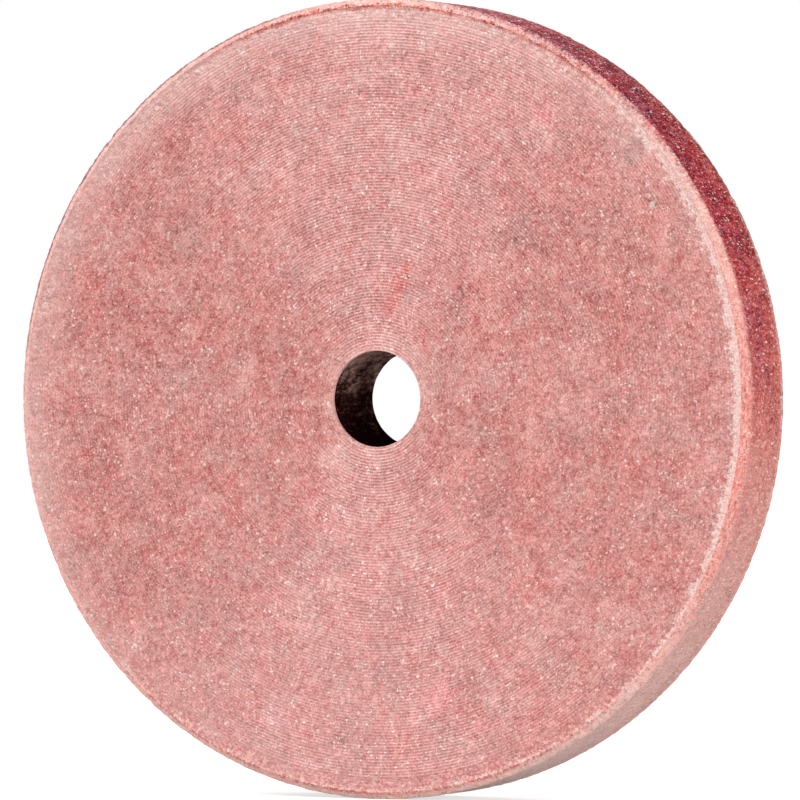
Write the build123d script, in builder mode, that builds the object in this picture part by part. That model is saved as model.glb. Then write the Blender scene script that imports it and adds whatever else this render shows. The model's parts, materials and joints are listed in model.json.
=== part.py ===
"""A straight diamond grinding wheel with a plain round bore.

The wheel stands on its rim.  The origin is the wheel's centre, +Y runs along the
spindle axis, +Z is up, and the front face looks along -Y.  All sizes are millimetres.

The pieces, from the outside in:
  diamond_rim   the thin working layer, with a dressed chamfer on both edges
  backing_ring  the diamond-free layer that the rim is cured on
  core          the thick pressed disc that carries them, turned flat on both faces
  bore_sleeve   the thin dark lining of the bore, pushed in from the back against a lip

Every piece is a ring about the Y axis.  Each is drawn as half of its section, with X
as the radius and Y as the place across the wheel, and revolved once round that axis.
"""
import os

from build123d import *

# ---- the wheel as a whole ----
wheel_diameter = 100.0
wheel_width = 12.0
bore_diameter = 12.0

# ---- radial depth of each layer, from the outside in ----
rim_depth = 1.0
backing_depth = 1.7
sleeve_wall = 0.15

# ---- the dressed edges of the rim ----
rim_land = 0.15             # flat strip left on the rim's face inside each chamfer
edge_drop = 0.6             # how far each chamfer runs across the rim

# ---- the mouths of the bore ----
lip_width = 0.6             # the core laps over the front end of the sleeve by this width
lip_clearance = 0.02        # the lip stands this far back from the sleeve's bore
mouth_break = 0.05          # sharp corner taken off the lip and off the sleeve's back end

# ---- films of resin between the pieces, left as empty clearance ----
layer_film = 0.05
sleeve_film = 0.02          # around the sleeve and between it and the lip

# ---- radii and lengths worked out from the sizes above ----
wheel_radius = wheel_diameter / 2
half_width = wheel_width / 2
rim_inner_radius = wheel_radius - rim_depth
backing_outer_radius = rim_inner_radius - layer_film
backing_inner_radius = backing_outer_radius - backing_depth
core_outer_radius = backing_inner_radius - layer_film
bore_radius = bore_diameter / 2
sleeve_outer_radius = bore_radius + sleeve_wall
core_seat_radius = sleeve_outer_radius + sleeve_film
lip_radius = bore_radius + lip_clearance
seat_floor = lip_width - half_width
sleeve_length = half_width - seat_floor - sleeve_film

# ---- diamond rim: a rectangle with both outer corners dressed off ----
land_radius = rim_inner_radius + rim_land
shoulder = half_width - edge_drop

with BuildPart() as diamond_rim:
    with BuildSketch(Plane.XY):
        with BuildLine():
            Polyline(
                (rim_inner_radius, -half_width),
                (land_radius, -half_width),
                (wheel_radius, -shoulder),
                (wheel_radius, shoulder),
                (land_radius, half_width),
                (rim_inner_radius, half_width),
                close=True,
            )
        make_face()
    revolve(axis=Axis.Y)
diamond_rim.part.label = "diamond_rim"

# ---- backing ring: as wide as the wheel, between the rim and the core ----
with BuildPart() as backing_ring:
    with BuildSketch(Plane.XY):
        with Locations((backing_inner_radius, 0)):
            Rectangle(backing_depth, wheel_width, align=(Align.MIN, Align.CENTER))
    revolve(axis=Axis.Y)
backing_ring.part.label = "backing_ring"

# ---- core: the disc from the bore out to the backing ring, with the sleeve's seat ----
with BuildPart() as core:
    with BuildSketch(Plane.XY):
        with BuildLine():
            Polyline(
                (lip_radius, -half_width),
                (core_outer_radius, -half_width),
                (core_outer_radius, half_width),
                (core_seat_radius, half_width),
                (core_seat_radius, seat_floor),
                (lip_radius, seat_floor),
                close=True,
            )
        make_face()
    revolve(axis=Axis.Y)
    lip_edges = core.edges().filter_by(GeomType.CIRCLE).group_by(SortBy.RADIUS)[0]
    chamfer(lip_edges.group_by(Axis.Y)[0], length=mouth_break)
core.part.label = "core"

# ---- bore sleeve: a thin tube from the lip's seat to the back face ----
with BuildPart() as bore_sleeve:
    with BuildSketch(Plane.XY):
        with Locations((bore_radius, half_width)):
            Rectangle(sleeve_wall, sleeve_length, align=(Align.MIN, Align.MAX))
    revolve(axis=Axis.Y)
    inner_edges = bore_sleeve.edges().filter_by(GeomType.CIRCLE).group_by(SortBy.RADIUS)[0]
    chamfer(inner_edges.group_by(Axis.Y)[-1], length=mouth_break)
bore_sleeve.part.label = "bore_sleeve"

# ---- one STEP file for each piece ----
os.makedirs("parts", exist_ok=True)
for piece in (diamond_rim, backing_ring, core, bore_sleeve):
    export_step(piece.part, f"parts/{piece.part.label}.step")
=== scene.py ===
# %% [markdown]
# # A diamond grinding wheel, finished for show
#
# The wheel is four rings on one axle line: a thin diamond rim, a pale backing ring, a thick
# pressed core and a dark bore sleeve.  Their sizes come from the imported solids.  Here each
# ring is drawn again as a fine surface that carries its real relief, such as the turned
# rings and the crumbled edges, and gets a finish worked out from its place on the wheel.
# Lengths are metres, +Y is the axle, +Z is up and the front face looks along -Y.

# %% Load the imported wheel
import json
import math

import bpy
import numpy as np
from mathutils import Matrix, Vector


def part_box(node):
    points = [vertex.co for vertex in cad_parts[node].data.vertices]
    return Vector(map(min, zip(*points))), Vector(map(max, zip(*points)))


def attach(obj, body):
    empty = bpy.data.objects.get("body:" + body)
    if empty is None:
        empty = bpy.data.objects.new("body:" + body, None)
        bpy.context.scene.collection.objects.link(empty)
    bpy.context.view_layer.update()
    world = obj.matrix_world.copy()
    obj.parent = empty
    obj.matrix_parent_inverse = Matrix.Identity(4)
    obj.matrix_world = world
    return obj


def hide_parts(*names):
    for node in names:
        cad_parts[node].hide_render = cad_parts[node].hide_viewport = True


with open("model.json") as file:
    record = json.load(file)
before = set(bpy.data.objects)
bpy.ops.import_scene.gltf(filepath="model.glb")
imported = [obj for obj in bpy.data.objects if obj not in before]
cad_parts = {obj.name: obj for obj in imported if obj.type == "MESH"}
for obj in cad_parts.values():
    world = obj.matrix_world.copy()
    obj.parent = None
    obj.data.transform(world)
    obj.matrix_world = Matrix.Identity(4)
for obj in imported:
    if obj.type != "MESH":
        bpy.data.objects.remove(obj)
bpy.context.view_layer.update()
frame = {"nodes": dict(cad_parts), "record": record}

mm = 0.001
print("solids:", ", ".join(sorted(frame["nodes"])))

# %% [markdown]
# ## Sizes
#
# Every ring's outer radius and width can be read from its solid's box, and the bore's radius
# from its mount.  The inner radii follow from the neighbours, because only a film of resin
# parts two layers.  No box shows the films, the bevel or the lip, so their sizes are typed
# here as they are in the solids, and have to be changed by hand if those ever change.

# %% Radii and widths of the four rings
def reach(node):
    """The outer radius and half the width of a ring that is centred on the axle."""
    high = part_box(node)[1]
    return high.x, high.y


mounts = {mount["name"]: mount for mount in frame["record"]["mounts"]}
layer_film = 0.05 * mm
sleeve_film = 0.02 * mm
rim_radius, half_width = reach("diamond_rim")
backing_radius = reach("backing_ring")[0]
core_radius = reach("core")[0]
sleeve_radius, sleeve_back = reach("bore_sleeve")
sleeve_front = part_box("bore_sleeve")[0].y
bore_radius = mounts["arbor_bore"]["dims"]["r_mm"] * mm
rim_joint = backing_radius + layer_film / 2
core_joint = core_radius + layer_film / 2
seat_radius = sleeve_radius + sleeve_film
seat_floor = sleeve_front - sleeve_film
print("joints and seat, mm:", [round(r / mm, 3) for r in (rim_joint, core_joint, seat_radius)])

# %% [markdown]
# ## One way to make every ring
#
# A ring is a closed section carried once round the axle.  The section may change a little on
# its way round, which is what chips, pits and tool marks are.  So radius and place across
# the wheel are both tables: one row for each point of the section, one column for each step
# round.  The mesh wraps both ways, so it has no seam, no pole and no open edge.

# %% Carry a section round the axle
def closed_ring(name, radius, across, crisp_rows=()):
    """A solid ring: point (i, j) is (radius * cos turn, across, radius * sin turn).

    The rows run outwards over the front, back over the rim, inwards over the back and home
    along the bore side, so each face looks away from the solid.  crisp_rows lists rows that
    keep a sharp edge in an otherwise smooth surface.
    """
    rows, steps = radius.shape
    turn = np.linspace(0, 2 * np.pi, steps, endpoint=False)
    points = np.stack([radius * np.cos(turn), across, radius * np.sin(turn)], axis=-1)
    here = np.arange(rows * steps).reshape(rows, steps)
    outward = np.roll(here, -1, axis=0)
    quads = np.stack([here, outward, np.roll(outward, -1, axis=1), np.roll(here, -1, axis=1)], axis=-1)
    mesh = bpy.data.meshes.new(name)
    mesh.vertices.add(rows * steps)
    mesh.vertices.foreach_set("co", points.ravel())
    mesh.loops.add(quads.size)
    mesh.loops.foreach_set("vertex_index", quads.ravel())
    mesh.polygons.add(quads.size // 4)
    mesh.polygons.foreach_set("loop_start", np.arange(0, quads.size, 4))
    mesh.polygons.foreach_set("use_smooth", np.ones(quads.size // 4, bool))
    mesh.update(calc_edges=True)
    ends = np.empty(len(mesh.edges) * 2, np.int32)
    mesh.edges.foreach_get("vertices", ends)
    end_rows = ends.reshape(-1, 2) // steps
    crisp = (end_rows[:, 0] == end_rows[:, 1]) & np.isin(end_rows[:, 0], crisp_rows)
    mesh.edges.foreach_set("use_edge_sharp", crisp)
    ring = bpy.data.objects.new(name, mesh)
    bpy.context.scene.collection.objects.link(ring)
    print(f"{name}: {rows} x {steps} points, {quads.size // 2} triangles")
    return ring


def hills(rows, steps, row_gap, step_gap, size, seed):
    """Random hills about `size` across, with mean 0 and spread 1, that join up both ways.

    White noise is blurred by a bell curve whose width is a third of the hill, in the
    frequency domain, where the blur wraps round of itself.
    """
    noise = np.random.default_rng(seed).standard_normal((rows, steps))
    down = np.fft.fftfreq(rows, row_gap)[:, None]
    along = np.fft.rfftfreq(steps, step_gap)[None, :]
    keep = np.exp(-2 * (np.pi * size / 3) ** 2 * (down**2 + along**2))
    smooth = np.fft.irfft2(np.fft.rfft2(noise) * keep, s=(rows, steps))
    return smooth / smooth.std()


def run(*corners, gap):
    """Points along straight runs between (radius, across) corners, no further apart than gap."""
    pieces = []
    for start, end in zip(corners, corners[1:]):
        start, end = np.array(start), np.array(end)
        count = max(1, math.ceil(np.linalg.norm(end - start) / gap))
        pieces.append(start + (end - start) * np.linspace(0, 1, count, endpoint=False)[:, None])
    return np.concatenate(pieces)


# %% [markdown]
# ## The core and its turned faces
#
# Both faces of the core were dressed flat on a lathe.  The round-nosed tool leaves a shallow
# hollow for each turn of its feed, and the hollows meet in crests.  Relief this fine could be
# faked with a bump map, but real hollows also catch the light in the two fans that every
# turned disc shows, so they are drawn: three points to a hollow, with its crest kept crisp.
# The tool bites a little deeper near the bore, where it starts its cut.

# %% Core
ring_count = 109
ring_depth = 0.042 * mm
points_per_ring = 3
core_steps = 144
lip_clearance = 0.02 * mm
mouth_break = 0.05 * mm
wear_share, wear_size = 0.2, 6 * mm
bite_share, bite_reach = 0.45, 5 * mm

lip_radius = bore_radius + lip_clearance
mouth_radius = lip_radius + mouth_break
ring_pitch = (core_joint - mouth_radius) / ring_count


def hollow(place):
    """Depth of a hollow, from 0 at its crests to 1 in the middle: a parabola."""
    share = place % 1.0
    return 4 * share * (1 - share)


face_place = np.linspace(0, ring_count, ring_count * points_per_ring + 1)
face_radius = mouth_radius + face_place * ring_pitch
face_rows = len(face_place)
step_gap = 2 * np.pi * core_radius / core_steps
wear = hills(face_rows, core_steps, ring_pitch / points_per_ring, step_gap, wear_size, 11)
bite = 1 + bite_share * np.exp(-(((face_radius - bore_radius) / bite_reach) ** 2))
front_depth = ring_depth * (bite * hollow(face_place))[:, None] * (1 + wear_share * wear)
back_depth = np.roll(front_depth, core_steps // 3, axis=1)
bore_r = np.array([seat_radius, lip_radius, lip_radius])
bore_y = np.array([seat_floor, seat_floor, mouth_break - half_width])
core_r = np.concatenate([face_radius, np.maximum(face_radius, seat_radius)[::-1], bore_r])
core_across = np.concatenate([
    front_depth - half_width,
    (half_width - back_depth)[::-1],
    np.repeat(bore_y[:, None], core_steps, axis=1),
])
crests = np.arange(0, face_rows, points_per_ring)
core_crisp = np.concatenate([crests, 2 * face_rows - 1 - crests, 2 * face_rows + np.arange(len(bore_r))])
core_radii = np.repeat(core_r[:, None], core_steps, axis=1)
core = closed_ring("pressed_core", core_radii, core_across, core_crisp)
print(f"ring pitch {ring_pitch / mm:.3f} mm")

# %% [markdown]
# ## The backing ring
#
# The rim is cured onto a pale layer without diamond.  Its face is turned with the core's, but
# the coarse grain tears out under the tool, so the hollows are broken and the edges crumble.

# %% Backing ring
backing_steps = 1536
backing_gap = 0.13 * mm
wall_points = 6
tear_size, tear_depth, tear_start = 0.55 * mm, 0.05 * mm, 0.3
grain_size, grain_depth = 0.3 * mm, 0.004 * mm
sound_margin = 0.2 * mm  # the tearing fades out this close to either joint

face = run((core_joint, -half_width), (rim_joint, -half_width), gap=backing_gap)
face_r = np.append(face[:, 0], rim_joint)
face_points = len(face_r)
wall = np.linspace(-half_width, half_width, wall_points + 2)[1:-1]
backing_r = np.concatenate([
    face_r, np.full(wall_points, rim_joint), face_r[::-1], np.full(wall_points, core_joint)
])
backing_y = np.concatenate([
    np.full(face_points, -half_width), wall, np.full(face_points, half_width), wall[::-1]
])
rows = len(backing_r)
step_gap = 2 * np.pi * backing_radius / backing_steps
tear = np.maximum(0, hills(rows, backing_steps, backing_gap, step_gap, tear_size, 21) - tear_start)
grain = hills(rows, backing_steps, backing_gap, step_gap, grain_size, 22)
on_face = (np.abs(backing_y) > half_width - 1e-9)[:, None]
turned = ring_depth * hollow((backing_r - core_joint) / ring_pitch)[:, None]
inland = np.minimum(backing_r - core_joint, rim_joint - backing_r) / sound_margin
torn = np.maximum(0, turned * (1 + 0.3 * grain) + tear_depth * tear + grain_depth * (2 + grain))
sink = np.clip(inland, 0, 1)[:, None] * on_face * torn
backing = closed_ring(
    "backing_layer",
    np.repeat(backing_r[:, None], backing_steps, axis=1),
    np.sign(backing_y)[:, None] * (np.abs(backing_y)[:, None] - sink),
    crisp_rows=(0, face_points - 1, face_points + wall_points, 2 * face_points + wall_points - 1),
)

# %% [markdown]
# ## The diamond rim
#
# The working layer is harder and darker.  Its outer corners were dressed to a bevel by hand,
# so the bevel wanders a little and its edges are chipped.  All of this lies below the true
# surface: each point moves straight in, along the bevel's or the rim's own normal.

# %% Diamond rim
rim_steps = 1300
rim_gap = 0.2 * mm
rim_land = 0.15 * mm
edge_drop = 0.6 * mm
bevel_lean = 0.6  # the share of a dent on a bevel that goes inwards; the rest goes across
grit_size, grit_depth = 0.45 * mm, 0.025 * mm
chip_size, chip_depth, chip_start = 0.9 * mm, 0.05 * mm, 0.9
wander_size, wander_depth = 16 * mm, 0.01 * mm
edge_reach = 0.35 * mm  # chips and wander keep this close to the outer edges
joint_margin = 0.4 * mm

land_radius = rim_joint + rim_land
shoulder = half_width - edge_drop
outline = run(
    (rim_joint, -half_width), (land_radius, -half_width), (rim_radius, -shoulder),
    (rim_radius, shoulder), (land_radius, half_width), (rim_joint, half_width),
    gap=rim_gap,
)
inner_wall = np.linspace(half_width, -half_width, wall_points, endpoint=False)
rim_r = np.concatenate([outline[:, 0], np.full(wall_points, rim_joint)])
rim_y = np.concatenate([outline[:, 1], inner_wall])
rows = len(rim_r)
step_gap = 2 * np.pi * rim_radius / rim_steps
grit = hills(rows, rim_steps, rim_gap, step_gap, grit_size, 31)
chips = np.maximum(0, hills(rows, rim_steps, rim_gap, step_gap, chip_size, 32) - chip_start)
wander = np.maximum(0, hills(1, rim_steps, 1, step_gap, wander_size, 33) * 0.5 + 0.6)
near_edge = np.exp(-((np.abs(rim_y) - shoulder) / edge_reach) ** 2)[:, None]
outside = np.clip((rim_r - rim_joint) / joint_margin, 0, 1)[:, None]
sink = outside * (
    grit_depth * np.maximum(0, 1.6 + grit)
    + chip_depth * near_edge * chips
    + wander_depth * near_edge * wander
)
lean = np.where(np.abs(rim_y) > shoulder + 1e-9, bevel_lean, 1.0)[:, None]
rim_radii = rim_r[:, None] - sink * lean
rim_across = np.sign(rim_y)[:, None] * (np.abs(rim_y)[:, None] - sink * (1 - lean) * 2)
rim = closed_ring("diamond_layer", rim_radii, rim_across)

# %% [markdown]
# ## The bore sleeve
#
# A thin dark tube lines the bore so that the wheel runs true.  Arbors have been slid through
# it, so it has faint lengthwise scuffs, which are shallow hollows stretched along the bore.

# %% Bore sleeve
sleeve_steps = 360
sleeve_rows = 64
scuff_depth = 0.018 * mm
scuff_size, lump_size = 0.35 * mm, 1.0 * mm
row_gap = 0.18 * mm
scuff_gap = row_gap / 3  # rows taken to be this close draw the scuffs out along the bore

mouth_y = sleeve_back - mouth_break
inside = np.linspace(mouth_y, sleeve_front, sleeve_rows)
sleeve_r = np.concatenate([
    [sleeve_radius, sleeve_radius, bore_radius + mouth_break], np.full(sleeve_rows, bore_radius)
])
sleeve_y = np.concatenate([[sleeve_front, sleeve_back, sleeve_back], inside])
rows = len(sleeve_r)
step_gap = 2 * np.pi * bore_radius / sleeve_steps
scuffs = hills(rows, sleeve_steps, scuff_gap, step_gap, scuff_size, 41)
lumps = hills(rows, sleeve_steps, row_gap, step_gap, lump_size, 42)
lined = (sleeve_r < bore_radius + mouth_break / 2)[:, None]
scuffed = np.clip(1.5 + 0.5 * scuffs + 0.5 * lumps, 0, 2.6)
sleeve_radii = sleeve_r[:, None] + lined * scuff_depth * scuffed
sleeve = closed_ring(
    "sleeve_lining",
    sleeve_radii,
    np.repeat(sleeve_y[:, None], sleeve_steps, axis=1),
    crisp_rows=(0, 1, 2, 3, rows - 1),
)

# %% [markdown]
# ## Wiring a finish
#
# A finish is a graph of nodes that starts at the piece's own coordinates, so the pattern
# stays in the material however the wheel is turned.  These helpers keep each step to a line.

# %% Node helpers
def paint(red, green, blue):
    """A colour from its 0 to 255 display values, as the linear values that a shader uses."""
    share = np.array([red, green, blue]) / 255
    return (*np.where(share > 0.04045, ((share + 0.055) / 1.055) ** 2.4, share / 12.92), 1.0)


class Finish:
    """A procedural material and the few kinds of step that this wheel's finishes need."""

    def __init__(self, name):
        self.material = bpy.data.materials.new(name)
        self.material.use_nodes = True
        self.tree = self.material.node_tree
        self.shader = self.tree.nodes["Principled BSDF"]
        self.spot = self.step("TexCoord").outputs["Object"]
        self.radius = self.size(self.moved("MULTIPLY", self.spot, (1, 0, 1)))
        parts = self.step("SeparateXYZ", {0: self.spot})
        self.x, self.y, self.z = parts.outputs
        self.turn = self.calc("ARCTAN2", self.z, self.x)

    def step(self, kind, feeds=None, **options):
        """Adds one node, sets its options, then feeds its sockets with links or plain values."""
        node = self.tree.nodes.new("ShaderNode" + kind)
        for key, value in options.items():
            setattr(node, key, value)
        for key, value in (feeds or {}).items():
            self.feed(node.inputs[key], value)
        return node

    def feed(self, socket, value):
        """Links a socket to another, or sets it to a plain value."""
        if isinstance(value, bpy.types.NodeSocket):
            self.tree.links.new(value, socket)
        else:
            socket.default_value = value

    def calc(self, operation, a, b=0.0, c=0.0):
        """One step of arithmetic."""
        return self.step("Math", {0: a, 1: b, 2: c}, operation=operation).outputs[0]

    def times(self, first, *others):
        """All the factors multiplied together."""
        for factor in others:
            first = self.calc("MULTIPLY", first, factor)
        return first

    def scaled(self, value, factor, offset):
        """The value times the factor, plus the offset."""
        return self.calc("MULTIPLY_ADD", value, factor, offset)

    def moved(self, operation, a, b=(0, 0, 0), c=(0, 0, 0)):
        """One step of vector arithmetic."""
        return self.step("VectorMath", {0: a, 1: b, 2: c}, operation=operation).outputs[0]

    def size(self, vector):
        """The length of a vector."""
        return self.step("VectorMath", {0: vector}, operation="LENGTH").outputs["Value"]

    def fade(self, value, start, end):
        """0 before start, 1 past end, and an eased rise between them."""
        feeds = {"Value": value, "From Min": start, "From Max": end}
        return self.step("MapRange", feeds, interpolation_type="SMOOTHSTEP").outputs[0]

    def noise(self, size, octaves=0.0, gain=0.5, place=None):
        """Cloudy noise whose largest lumps are about `size` across."""
        feeds = {"Vector": place or self.spot, "Scale": 1 / size, "Detail": octaves, "Roughness": gain}
        return self.step("TexNoise", feeds).outputs["Fac"]

    def grains(self, size, place=None):
        """Packed grains: a random number for each, and the distance from its middle."""
        node = self.step("TexVoronoi", {"Vector": place or self.spot, "Scale": 1 / size})
        return self.step("SeparateColor", {0: node.outputs["Color"]}).outputs, node.outputs["Distance"]

    def ramp(self, value, *stops):
        """A colour read from (place, colour) stops."""
        node = self.step("ValToRGB", {0: value})
        node.color_ramp.elements.remove(node.color_ramp.elements[1])
        node.color_ramp.elements[0].position, node.color_ramp.elements[0].color = stops[0]
        for place, colour in stops[1:]:
            node.color_ramp.elements.new(place).color = colour
        return node.outputs[0]

    def mix(self, share, first, second):
        """The first colour where share is 0, the second where it is 1."""
        return self.step("Mix", {0: share, 6: first, 7: second}, data_type="RGBA").outputs[2]

    def set(self, **values):
        """Feeds the shader: names are its sockets, with _ for a space."""
        for key, value in values.items():
            self.feed(self.shader.inputs[key.replace("_", " ")], value)


print("a mid pink as linear values:", [round(float(v), 3) for v in paint(210, 130, 122)[:3]])

# %% [markdown]
# ## Pressed and turned grit
#
# The core and the backing are grains of abrasive pressed in a pink resin.  Close to, every
# grain has its own tone; a few glint, and a few are lost and leave pits.  The glints are
# painted highlights, near-white specks where light would catch a grain.  The pits are sunk
# in the relief and also painted darker, a painted shade in each hollow.  Further off the mix
# is uneven, in clouds from some millimetres down to a grain, each about as strong as the next.
# So the colour is built in that order: clouds, then grains, then painted glints and pits.

# %% Grit colour and relief
lighter = (0.102, 0.075, 0.071)
greyer = (-0.15, 0.042, 0.036)
painted_glint_colour = paint(254, 230, 222)
pit_shade_colour = paint(132, 70, 66)


def pressed_grit(
    finish, colour, place=None, size=1.0, lift=lighter, turn=greyer, glints=0.07, pits=0.02
):
    """Adds grains, painted glints and darker-painted pits to a colour, and gives that colour and a
    height.

    `lift` is what one step of tone adds to the colour, and `turn` what one step of hue adds.
    """
    place = place or finish.spot
    bend = finish.step("TexNoise", {"Vector": place, "Scale": 1 / (0.4 * size * mm), "Detail": 1.0})
    bent = finish.moved("MULTIPLY_ADD", bend.outputs["Color"], (0.3 * size * mm,) * 3, place)
    speckle = finish.noise(1.3 * mm, octaves=3, gain=1.0, place=place)
    hue = finish.noise(1.1 * mm, octaves=1, gain=0.8)
    drift = finish.noise(6 * mm, octaves=2, gain=0.8)
    (grain, other, third), middle = finish.grains(0.18 * size * mm, bent)
    (flake, shade, _), _ = finish.grains(0.28 * size * mm, bent)
    tone = finish.scaled(speckle, 7.4, -5.85)
    tone = finish.scaled(grain, 2.9, tone)
    tone = finish.scaled(shade, 1.4, tone)
    tint = finish.calc("SUBTRACT", finish.scaled(drift, 1.6, hue), 1.3)
    colour = finish.moved("MULTIPLY_ADD", tone, lift, colour)
    colour = finish.moved("MULTIPLY_ADD", tint, turn, colour)
    # Painted glints: near-white specks painted into the colour where light would catch a grain.
    crowd = finish.fade(finish.noise(2.4 * mm, octaves=3, gain=0.8), 0.36, 0.6)
    bright = finish.scaled(crowd, 0.5, 0.35)
    painted_glint = finish.times(finish.fade(other, 1 - glints, 1), bright)
    colour = finish.mix(painted_glint, colour, painted_glint_colour)
    painted_flash = finish.times(finish.fade(flake, 1 - glints / 2, 1 - glints / 8), bright)
    colour = finish.mix(painted_flash, colour, painted_glint_colour)
    # Painted shade: the pits are sunk in the relief and also painted darker.
    pit = finish.times(finish.fade(third, 1 - pits, 1), 0.7)
    colour = finish.mix(pit, colour, pit_shade_colour)
    height = finish.scaled(middle, -0.7, finish.times(grain, 0.7))
    height = finish.scaled(speckle, 1.5, height)
    return colour, finish.calc("SUBTRACT", height, pit)


def along_turn(finish, gap, turns=34):
    """Strokes that follow the turning: noise drawn out along the turn."""
    place = finish.step("CombineXYZ", {
        0: finish.calc("DIVIDE", finish.radius, gap),
        1: finish.times(finish.turn, turns),
        2: finish.calc("DIVIDE", finish.y, gap),
    }).outputs[0]
    feeds = {"Vector": place, "Scale": 1.0, "Detail": 1.0, "Roughness": 0.6}
    return finish.step("TexNoise", feeds).outputs["Fac"]


def stretched(finish, share):
    """The piece's own coordinates with the patterns drawn out across the wheel."""
    return finish.moved("MULTIPLY", finish.spot, (1, share, 1))


print("one step of tone adds", lighter, "and one step of hue adds", greyer)

# %% [markdown]
# ## The worn edge and the resin line
#
# Truing the rim leaves a pale, bruised band round the edge of each face, wider on one side
# because no wheel is trued quite on its centre.  Near-white flecks in the band, strongest
# along its inner edge, are partly pale crumbs and partly a painted highlight.  Where the rim
# was cured onto the backing, resin was squeezed out as a ragged red line, and only its
# topmost part is still bare.  Both are laid over the grains, since they cover them.

# %% Pale worn edge
band_width, band_extra = 1.0 * mm, 1.05 * mm  # the pale band, and what it gains at its widest


def leaning(finish, degrees):
    """The cosine of the turn away from a bearing: 1 at that bearing, -1 opposite it."""
    return finish.calc("COSINE", finish.calc("SUBTRACT", finish.turn, math.radians(degrees)))


def worn_edge_and_highlight(finish, colour):
    """Pales a face towards its edge.

    The band is widest at the right, as it is on a wheel trued a little off its centre, and
    noise makes its inner edge ragged.  Its near-white flecks, strongest along that inner edge,
    are pale crumbs and a painted highlight where the crumbled edge catches light.  A softer
    paling lies inside it at the upper left.
    """
    widest = finish.fade(leaning(finish, 12), 0.5, 1)
    start = finish.scaled(widest, -band_extra, rim_radius - band_width)
    ragged = finish.scaled(finish.noise(2.0 * mm, octaves=5, gain=0.9), 6.4 * mm, -3.2 * mm)
    past = finish.calc("SUBTRACT", finish.calc("ADD", finish.radius, ragged), start)
    pale = finish.fade(past, -0.25 * mm, 0.25 * mm)
    patchy = finish.fade(finish.noise(0.7 * mm, octaves=3, gain=0.9), 0.4, 0.52)
    share = finish.times(
        pale, finish.scaled(leaning(finish, -10), 0.42, 0.6), finish.scaled(patchy, 0.25, 0.65)
    )
    soft = finish.fade(finish.radius, 0.85 * rim_radius, rim_radius)
    soft = finish.times(soft, finish.scaled(leaning(finish, 128), 0.2, 0.2))
    share = finish.calc("MAXIMUM", share, soft)
    # Near-white flecks: pale crumbs, plus a painted highlight that is strongest along the band's inner
    # edge.
    crumbs_and_glints = finish.fade(finish.noise(0.35 * mm, octaves=2, gain=1.0), 0.4, 0.6)
    crumbs_and_glints = finish.times(crumbs_and_glints, finish.scaled(finish.fade(past, 0, 1.2 * mm), -0.35, 1.0))
    pale_crumbs_and_highlight = finish.mix(crumbs_and_glints, paint(250, 186, 174), paint(255, 240, 232))
    return finish.mix(share, colour, pale_crumbs_and_highlight)


def joint_line(finish, colour):
    """The ragged red line of resin where the rim meets the backing, bare only at the top."""
    sway = finish.scaled(finish.noise(1.6 * mm, octaves=4, gain=1.0), 2.4 * mm, -1.2 * mm)
    off = finish.calc("ADD", finish.calc("SUBTRACT", finish.radius, rim_joint), sway)
    line = finish.fade(finish.calc("ABSOLUTE", off), 0.38 * mm, 0.18 * mm)
    broken = finish.fade(finish.noise(0.7 * mm, octaves=3, gain=1.0), 0.4, 0.5)
    share = finish.times(line, broken, finish.fade(leaning(finish, 84), 0.75, 0.93))
    deep = finish.fade(finish.noise(0.9 * mm, octaves=2, gain=1.0), 0.45, 0.55)
    return finish.mix(share, colour, finish.mix(deep, paint(222, 116, 94), paint(172, 60, 54)))


def crumbled_foot(finish, colour):
    """Crumbs of torn grain towards the foot: pale on the bevel, red and pale just inside it."""
    low = finish.fade(leaning(finish, -95), 0.5, 0.9)
    bevel = finish.fade(finish.radius, 0.974 * rim_radius, 0.988 * rim_radius)
    inside = finish.times(
        finish.fade(finish.radius, 0.93 * rim_radius, 0.965 * rim_radius),
        finish.fade(finish.radius, 0.992 * rim_radius, 0.984 * rim_radius),
    )
    (first, second, third), _ = finish.grains(0.3 * mm)
    for crumb, band, strength, stain in (
        (finish.fade(first, 0.35, 0.45), bevel, 0.75, paint(255, 208, 196)),
        (finish.fade(second, 0.4, 0.5), inside, 0.6, paint(184, 60, 54)),
        (finish.fade(third, 0.7, 0.8), inside, 0.5, paint(252, 184, 170)),
    ):
        colour = finish.mix(finish.times(crumb, band, strength, low), colour, stain)
    return colour


print(f"the pale band starts {(rim_radius - band_width - band_extra) / mm:.2f} mm out at its widest")

# %% [markdown]
# ## Marks that this wheel has picked up
#
# Pressed grit is never even: raw resin gathers in smears and patches, a coarse grain slips
# in, and handling adds a nick.  Each mark is a spindle placed on the front face, and the
# same noise that frays them all keeps any from looking stamped.

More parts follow.
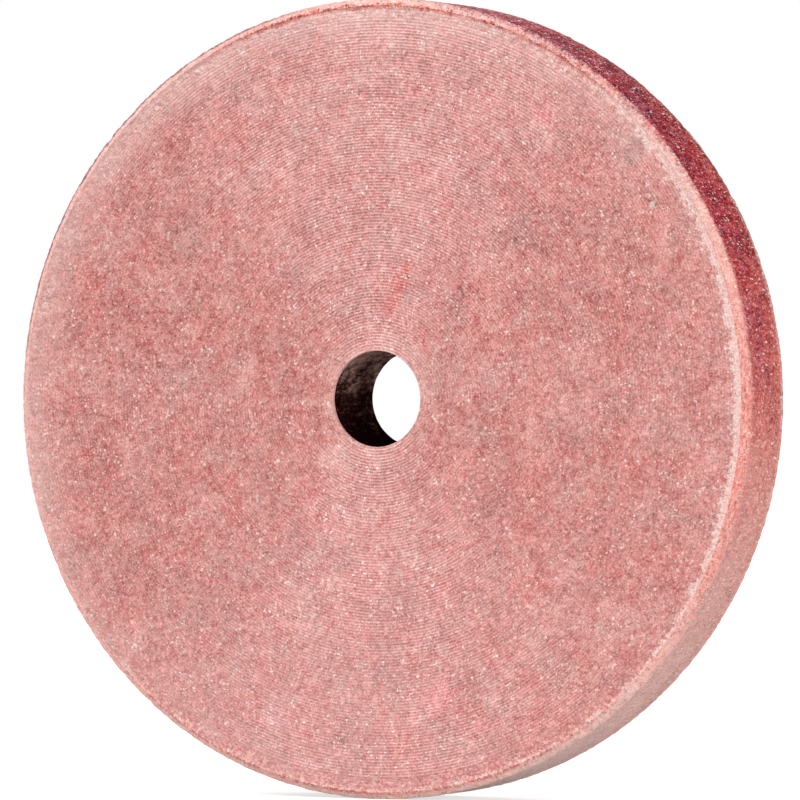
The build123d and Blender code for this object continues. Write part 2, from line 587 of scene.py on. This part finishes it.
# %% Marks on the front face
marks = (
    # right and up (mm), bearing (degrees), length and width (mm), stain, strength
    (3.0, 14.2, 64, 8.0, 2.2, paint(206, 76, 60), 0.9),        # raw resin beside the bore
    (11.6, 13.6, -70, 2.4, 0.4, paint(150, 40, 48), 0.95),     # a nick
    (34.7, 30.7, 60, 4.6, 3.4, paint(126, 82, 74), 0.32),      # a patch of pits
    (37.3, 23.8, 0, 1.1, 1.0, paint(206, 190, 182), 0.8),      # one coarse pale grain
    (23.0, 35.0, 20, 3.6, 2.6, paint(240, 138, 136), 0.5),     # patches of resin
    (-2.7, 21.5, 0, 1.2, 0.8, paint(190, 88, 76), 0.7),
    (-6.0, -7.4, 20, 4.0, 3.0, paint(246, 186, 176), 0.5),     # paler patches
    (8.2, -37.2, 60, 4.8, 3.4, paint(248, 146, 146), 0.55),
    (-14.3, -40.0, -15, 4.2, 3.0, paint(230, 158, 160), 0.5),
    (38.4, 20.1, 50, 3.2, 2.2, paint(244, 164, 160), 0.55),
    (-34.9, -33.8, -46, 3.6, 0.8, paint(208, 190, 180), 0.7),  # scrapes by the left foot
    (-22.9, -42.1, -29, 4.0, 0.9, paint(206, 186, 178), 0.6),
    (-37.3, -31.0, -51, 1.8, 0.6, paint(200, 172, 164), 0.6),
)


def local_marks(finish, colour):
    """Lays each mark on the front face as a spindle whose outline a noise breaks up."""
    front = finish.fade(finish.y, 0, -half_width)
    ragged = finish.scaled(finish.noise(0.7 * mm, octaves=4, gain=1.0), 8.0, -4.0)
    for right, up, bearing, length, width, stain, strength in marks:
        away = finish.moved("SUBTRACT", finish.spot, (right * mm, 0, up * mm))
        feeds = {"Vector": away, "Axis": (0, 1, 0), "Angle": math.radians(bearing)}
        away = finish.step("VectorRotate", feeds).outputs[0]
        away = finish.moved("MULTIPLY", away, (2 / (length * mm), 0, 2 / (width * mm)))
        reach_out = finish.size(away)
        frayed = finish.fade(finish.calc("ADD", reach_out, ragged), 1.3, 0.6)
        share = finish.times(frayed, finish.fade(reach_out, 1.3, 0.9), front, strength)
        colour = finish.mix(share, colour, stain)
    return colour


print(len(marks), "marks on the front face")

# %% [markdown]
# ## The finish of the turned faces
#
# The core and the backing share one finish, so the turned face runs on over the joint.  The
# colour is clouds, marks and grains, then the pale edge and the resin line over them.  The
# grains are corundum, which mirrors more than resin does.  The rings spread what it mirrors
# outwards from the bore, so two greyish fans open above and below it: an anisotropic
# highlight turned to lie across the rings.

# %% Core and backing finishes
pink_clouds = (
    (0.34, paint(185, 103, 97)), (0.47, paint(203, 120, 112)),
    (0.53, paint(210, 130, 122)), (0.66, paint(226, 157, 148)),
)


def turned_face(name, bump_depth):
    """The finish of the turned faces, with relief from the grains and the tool's strokes."""
    finish = Finish(name)
    cloud = finish.noise(9 * mm, octaves=6, gain=1.0)
    colour = finish.ramp(cloud, *pink_clouds)
    mouth = finish.times(finish.fade(finish.radius, 9.5 * mm, 6.0 * mm), 0.27)
    colour = finish.mix(mouth, colour, paint(248, 194, 182))
    outer = finish.fade(finish.radius, 0.35 * rim_radius, 0.75 * rim_radius)
    foot = finish.times(finish.fade(leaning(finish, -105), 0.3, 0.95), 0.3, outer)
    colour = finish.mix(foot, colour, paint(180, 95, 87))
    colour, height = pressed_grit(finish, local_marks(finish, colour))
    colour = crumbled_foot(finish, joint_line(finish, worn_edge_and_highlight(finish, colour)))
    height = finish.scaled(along_turn(finish, ring_pitch / 2), 1.2, height)
    bump = finish.step("Bump", {"Strength": 1.0, "Distance": bump_depth, "Height": height})
    round_axle = finish.step("Tangent", direction_type="RADIAL", axis="Y").outputs[0]
    finish.set(
        Base_Color=colour, Roughness=0.45, IOR=1.8, Specular_IOR_Level=0.95, Normal=bump.outputs[0],
        Anisotropic=0.85, Anisotropic_Rotation=0.25, Tangent=round_axle,
    )
    return finish


core_finish = turned_face("pressed_pink_grit", 0.026 * mm)
backing_finish = turned_face("pale_backing_grit", 0.038 * mm)
print("turned faces:", len(core_finish.tree.nodes), "nodes each")

# %% [markdown]
# ## The finish of the rim
#
# The diamond layer is ruby resin.  It is painted dark at the top and chalky at the foot, a
# painted reflection: pale where it would mirror the white table below, dark where it would
# mirror darkness above.  Its glints are painted too.  Its patterns are drawn out across the
# wheel, the way the dressing stone rubbed it.  Both bevels are paler: salmon at the right and
# as pale as the worn edge elsewhere, with a brighter salmon painted towards the foot as
# painted light where they lie in shade.

# %% Rim finish
def ruby_layer(finish, stain, drawn_out):
    """The resin's colour: mottled, browner towards the back, and painted chalky below and ruby above."""
    ruby = finish.ramp(
        stain, (0.05, paint(219, 173, 164)), (0.3, paint(220, 151, 141)), (0.5, paint(205, 95, 85)),
        (0.72, paint(170, 10, 46)), (0.95, paint(134, 8, 58)),
    )
    blotch = finish.fade(finish.noise(1.3 * mm, octaves=3, gain=0.9, place=drawn_out), 0.35, 0.65)
    mottled = finish.times(finish.fade(stain, 0.42, 0.75), 0.4)
    ruby = finish.mix(mottled, ruby, finish.mix(blotch, paint(116, 12, 50), paint(204, 74, 78)))
    toward_back = finish.scaled(finish.y, 1 / half_width, finish.noise(3 * mm, octaves=4, gain=0.9))
    return finish.mix(finish.times(finish.fade(toward_back, 0.5, 1.6), 0.45), ruby, paint(184, 104, 78))


def bevel_share(finish):
    """1 on both bevels and 0 between them; the paling is ragged, and narrower at the upper right."""
    narrower = finish.fade(leaning(finish, 55), 0.8, 1)
    across = finish.scaled(narrower, -0.8 * mm, finish.calc("ABSOLUTE", finish.y))
    worn = finish.scaled(finish.noise(0.9 * mm, octaves=3, gain=0.9), 1.6 * mm, -0.8 * mm)
    return finish.fade(finish.calc("ADD", across, worn), shoulder - 1.3 * mm, shoulder + 0.1 * mm)


def dressed_bevel(finish):
    """The bevels' colour: salmon at the right, chalky elsewhere, duller at the left, painted lighter at
    the foot.
    """
    salmon = finish.ramp(
        along_turn(finish, 0.2 * mm, turns=60),
        (0.35, paint(232, 128, 115)), (0.5, paint(241, 155, 145)), (0.65, paint(248, 180, 171)),
    )
    elsewhere = finish.calc("MINIMUM", finish.scaled(leaning(finish, -6), -4.0, 4.0), 1.0)
    # Painted light: towards the foot, where the bevel lies in shade, the chalky mix takes a brighter,
    # pinker salmon.
    high = finish.fade(finish.z, -0.9 * rim_radius, -0.2 * rim_radius)
    chalky = finish.mix(0.6, salmon, finish.mix(high, paint(255, 178, 166), paint(240, 184, 177)))
    dull = finish.times(finish.fade(leaning(finish, 150), 0.35, 0.9), 0.6)
    chalky = finish.mix(dull, chalky, paint(206, 134, 126))
    pale = finish.mix(elsewhere, salmon, worn_edge_and_highlight(finish, chalky))
    return crumbled_foot(finish, joint_line(finish, pale))


def dark_edge_line(finish, colour):
    """A thin dark line along parts of both outer edges."""
    in_front = finish.times(leaning(finish, 138), finish.fade(finish.y, 0, -half_width))
    behind = finish.times(leaning(finish, 12), finish.fade(finish.y, 0, half_width))
    line_side = finish.fade(finish.calc("MAXIMUM", in_front, behind), 0.7, 0.93)
    from_edge = finish.calc("SUBTRACT", finish.calc("ABSOLUTE", finish.y), shoulder)
    line = finish.fade(finish.calc("ABSOLUTE", from_edge), 0.22 * mm, 0.1 * mm)
    broken = finish.fade(finish.noise(0.6 * mm, octaves=3, gain=1.0), 0.38, 0.52)
    share = finish.times(line, line_side, finish.scaled(broken, 0.5, 0.3))
    return finish.mix(share, colour, paint(116, 44, 56))


def ruby_rim(name, bump_depth):
    """The finish of the rim: ruby resin between two pale bevels."""
    finish = Finish(name)
    # Painted light and shade: the rim is painted pale and chalky towards the foot and dark towards the
    # top, as it would mirror the white table below and darkness above.
    painted_reflection_height = finish.scaled(finish.z, 0.5 / rim_radius, 0.5)
    drift = finish.scaled(finish.noise(6 * mm, octaves=5, gain=0.9), 0.5, -0.25)
    stain = finish.calc("ADD", painted_reflection_height, drift)
    drawn_out = stretched(finish, 0.45)
    bevel = bevel_share(finish)
    plain = finish.mix(bevel, ruby_layer(finish, stain, drawn_out), dressed_bevel(finish))
    gritty, height = pressed_grit(
        finish, plain, drawn_out, size=0.85, lift=(0.1, 0.05, 0.05), turn=(-0.12, 0.01, 0.03),
        glints=0.09,
    )
    flat = finish.calc("SUBTRACT", 1.0, bevel)
    # The painted pale foot also keeps less of the grit.
    smooth = finish.times(finish.fade(stain, 0.5, 0.25), 0.2, flat)
    colour = dark_edge_line(finish, finish.mix(smooth, gritty, plain))
    bump = finish.step("Bump", {"Strength": 1.0, "Distance": bump_depth, "Height": height})
    finish.set(Base_Color=colour, Roughness=0.4, Specular_IOR_Level=0.15, Normal=bump.outputs[0])
    return finish


rim_finish = ruby_rim("ruby_diamond_grit", 0.06 * mm)
print("rim:", len(rim_finish.tree.nodes), "nodes")

# %% [markdown]
# ## The finish of the sleeve
#
# The lining is dark brown plastic, mottled.  Its upper part is painted a paler grey, a painted
# sheen, and its lower part darker, a painted shade.

# %% Sleeve finish
sleeve_finish = Finish("dark_sleeve")
stain = sleeve_finish.noise(2.2 * mm, octaves=6, gain=1.0, place=stretched(sleeve_finish, 0.45))
# Painted sheen and shade: paler towards the top of the bore and darker towards its bottom.
mottle_and_sheen = sleeve_finish.scaled(sleeve_finish.z, 0.14 / bore_radius, stain)
colour = sleeve_finish.ramp(
    mottle_and_sheen, (0.44, paint(22, 5, 6)), (0.53, paint(66, 36, 32)), (0.6, paint(128, 96, 87)),
    (0.68, paint(186, 150, 140)),
)
bump = sleeve_finish.step("Bump", {"Strength": 0.8, "Distance": 0.04 * mm, "Height": stain})
sleeve_finish.set(Base_Color=colour, Roughness=0.7, Specular_IOR_Level=0.0, Normal=bump.outputs[0])
print("sleeve:", len(sleeve_finish.tree.nodes), "nodes")

# %% [markdown]
# ## From solids to pieces
#
# Each ring now takes its finish and stands in for its solid.  All four belong to one body,
# since nothing on the wheel moves by itself.

# %% Put each piece in place of its solid
for piece, node, slot, finish in (
    (core, "core", "core_body", core_finish),
    (backing, "backing_ring", "backing_layer", backing_finish),
    (rim, "diamond_rim", "diamond_layer", rim_finish),
    (sleeve, "bore_sleeve", "sleeve_lining", sleeve_finish),
):
    piece.data.materials.append(finish.material)
    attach(piece, "root")
    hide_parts(node)
    print(f"{piece.name} stands for {node}")

# %% [markdown]
# ## Floor and surroundings
#
# The wheel stands on a white table in a white room.  The camera and mirror reflections see
# plain white, from a glow that lights nothing.  The light that falls on the wheel from the
# room is half as strong, and softboxes add the rest, so the wheel's shadow stays on the table.

# %% What a ray sees
def seen_directly(tree):
    """1 for rays that show the background itself: the camera's, and those that mirror or pass it."""
    path = tree.nodes.new("ShaderNodeLightPath")
    share = path.outputs["Is Camera Ray"]
    for kind in ("Is Glossy Ray", "Is Transmission Ray"):
        either = tree.nodes.new("ShaderNodeMath")
        either.operation = "MAXIMUM"
        tree.links.new(share, either.inputs[0])
        tree.links.new(path.outputs[kind], either.inputs[1])
        share = either.outputs[0]
    return share


print("white is shown to camera, glossy and transmission rays")

# %% Floor
floor_radius = 1.5
floor_sides = 96
near_shade = 0.32  # the table's glow is this much weaker near the wheel than far from it

turn = np.linspace(0, 2 * np.pi, floor_sides, endpoint=False)
floor_z = np.full(floor_sides, -rim_radius)
floor_points = np.stack([floor_radius * np.cos(turn), floor_radius * np.sin(turn), floor_z], axis=-1)
floor_mesh = bpy.data.meshes.new("table")
floor_mesh.from_pydata(floor_points.tolist(), [], [list(range(floor_sides))])
floor = bpy.data.objects.new("table", floor_mesh)
bpy.context.scene.collection.objects.link(floor)

table_finish = Finish("white_table")
away = table_finish.fade(table_finish.size(table_finish.spot), 0.12, 0.5)
whiteness = table_finish.scaled(away, near_shade, 1 - near_shade)
table_finish.set(
    Base_Color=(0.5, 0.5, 0.5, 1), Roughness=0.9, Specular_IOR_Level=0.1, Emission_Color=(1, 1, 1, 1),
    Emission_Strength=table_finish.times(seen_directly(table_finish.tree), whiteness),
)
# The glow lights nothing, so no ray is sent to it.
table_finish.material.cycles.emission_sampling = "NONE"
floor_mesh.materials.append(table_finish.material)
print(f"table at z = {-rim_radius / mm:.1f} mm")

# %% World
room_level = 0.5
world = bpy.data.worlds.new("white_room")
bpy.context.scene.world = world
world.use_nodes = True
room = world.node_tree
level = room.nodes.new("ShaderNodeMapRange")
level.inputs["To Min"].default_value = room_level
room.links.new(seen_directly(room), level.inputs["Value"])
room.nodes["Background"].inputs["Color"].default_value = (1, 1, 1, 1)
room.links.new(level.outputs[0], room.nodes["Background"].inputs["Strength"])
print("room level", room_level)

# %% [markdown]
# ## Lamps and cards
#
# A long key softbox high in front draws the upper fan and most of the shading.  Smaller boxes
# fill the left, light the rim from the right and keep the back from going dull.  Plain white
# all round would wash out the fans, so black cards lie at the height the flat face mirrors:
# one stands across the front, one lies on the table, and one stands behind for the rim.  Only
# mirror reflections see them, so they take no light away.

# %% Softboxes
def toward(azimuth, elevation):
    """The direction from the wheel to something at that bearing; azimuth 0 is straight in front."""
    a, e = math.radians(azimuth), math.radians(elevation)
    return Vector((math.sin(a) * math.cos(e), -math.cos(a) * math.cos(e), math.sin(e)))


def softbox(name, azimuth, elevation, distance, width, height, share):
    """A flat lamp that faces the wheel and adds `share` of the plain light level there."""
    data = bpy.data.lights.new(name, "AREA")
    data.shape = "RECTANGLE"
    data.size, data.size_y = width, height
    data.energy = share * (math.pi * distance) ** 2
    lamp = bpy.data.objects.new(name, data)
    lamp.location = toward(azimuth, elevation) * distance
    lamp.rotation_euler = (-lamp.location).to_track_quat("-Z", "Y").to_euler()
    lamp.visible_camera = False
    bpy.context.scene.collection.objects.link(lamp)


softbox("key_softbox", -35, 48, 3.0, 3.2, 0.8, 0.69)
softbox("left_softbox", -85, 35, 3.0, 1.4, 1.2, 0.3)
softbox("side_softbox", 68, 4, 0.9, 0.5, 0.3, 0.45)
softbox("back_softbox", 212, 35, 3.0, 1.6, 1.2, 0.3)
print("lamps:", len(bpy.data.lights))

# %% Dark cards
card_azimuth = -24.6  # the way the flat face mirrors the camera's line of sight
far_distance, far_half = 1.3, 1.9
near_distance, near_half = 0.1, 0.146
card_height = 0.16
card_lift = 1 * mm  # over the table
card_black = (0.03, 0.03, 0.03, 1)


def dark_card(name, corners):
    """A matt black card that only mirror reflections show."""
    mesh = bpy.data.meshes.new(name)
    mesh.from_pydata(corners, [], [(0, 1, 2, 3)])
    card = bpy.data.objects.new(name, mesh)
    bpy.context.scene.collection.objects.link(card)
    card.visible_camera = card.visible_diffuse = card.visible_shadow = False
    card_paint = bpy.data.materials.new(name)
    card_paint.use_nodes = True
    shader = card_paint.node_tree.nodes["Principled BSDF"]
    shader.inputs["Base Color"].default_value = card_black
    shader.inputs["Roughness"].default_value = 1.0
    mesh.materials.append(card_paint)


foot, brim = Vector((0, 0, card_lift - rim_radius)), Vector((0, 0, card_height))
ahead, beside = toward(card_azimuth, 0), toward(card_azimuth + 90, 0)
far_left, far_right = (ahead * far_distance + beside * side for side in (-far_half, far_half))
near_left, near_right = (ahead * near_distance + beside * side for side in (-near_half, near_half))
dark_card("horizon_card", [far_left + foot, far_right + foot, far_right + brim, far_left + brim])
dark_card("table_mat", [near_left + foot, near_right + foot, far_right + foot, far_left + foot])
dark_card("top_card", [(-0.22, 0.42, 0.04), (0.2, 0.42, 0.04), (0.2, 0.36, 0.34), (-0.22, 0.36, 0.34)])
print(f"the horizon card reaches {math.degrees(math.atan(card_height / far_distance)):.0f} degrees up")

# %% [markdown]
# ## Camera
#
# A long lens, level with the wheel's middle and 25 degrees round to the right, shows the
# front face and a strip of the rim.

# %% Camera
view_azimuth = 24.599
view_elevation = 0.248
view_distance = 0.87365
aim_right = 0.000467
aim_up = -0.0001655
lens = 313.16

back = toward(view_azimuth, view_elevation)
right = Vector((math.cos(math.radians(view_azimuth)), math.sin(math.radians(view_azimuth)), 0))
up = right.cross(-back)
camera_data = bpy.data.cameras.new("bench_camera")
camera_data.lens = lens
camera_data.clip_start, camera_data.clip_end = 0.01, 20
camera = bpy.data.objects.new("bench_camera", camera_data)
camera.location = back * view_distance + right * aim_right + up * aim_up
camera.rotation_euler = (-back).to_track_quat("-Z", "Y").to_euler()
bpy.context.scene.collection.objects.link(camera)
bpy.context.scene.camera = camera
bpy.context.scene.view_settings.view_transform = "Standard"
print(f"camera {view_azimuth} degrees right and {view_elevation} up")
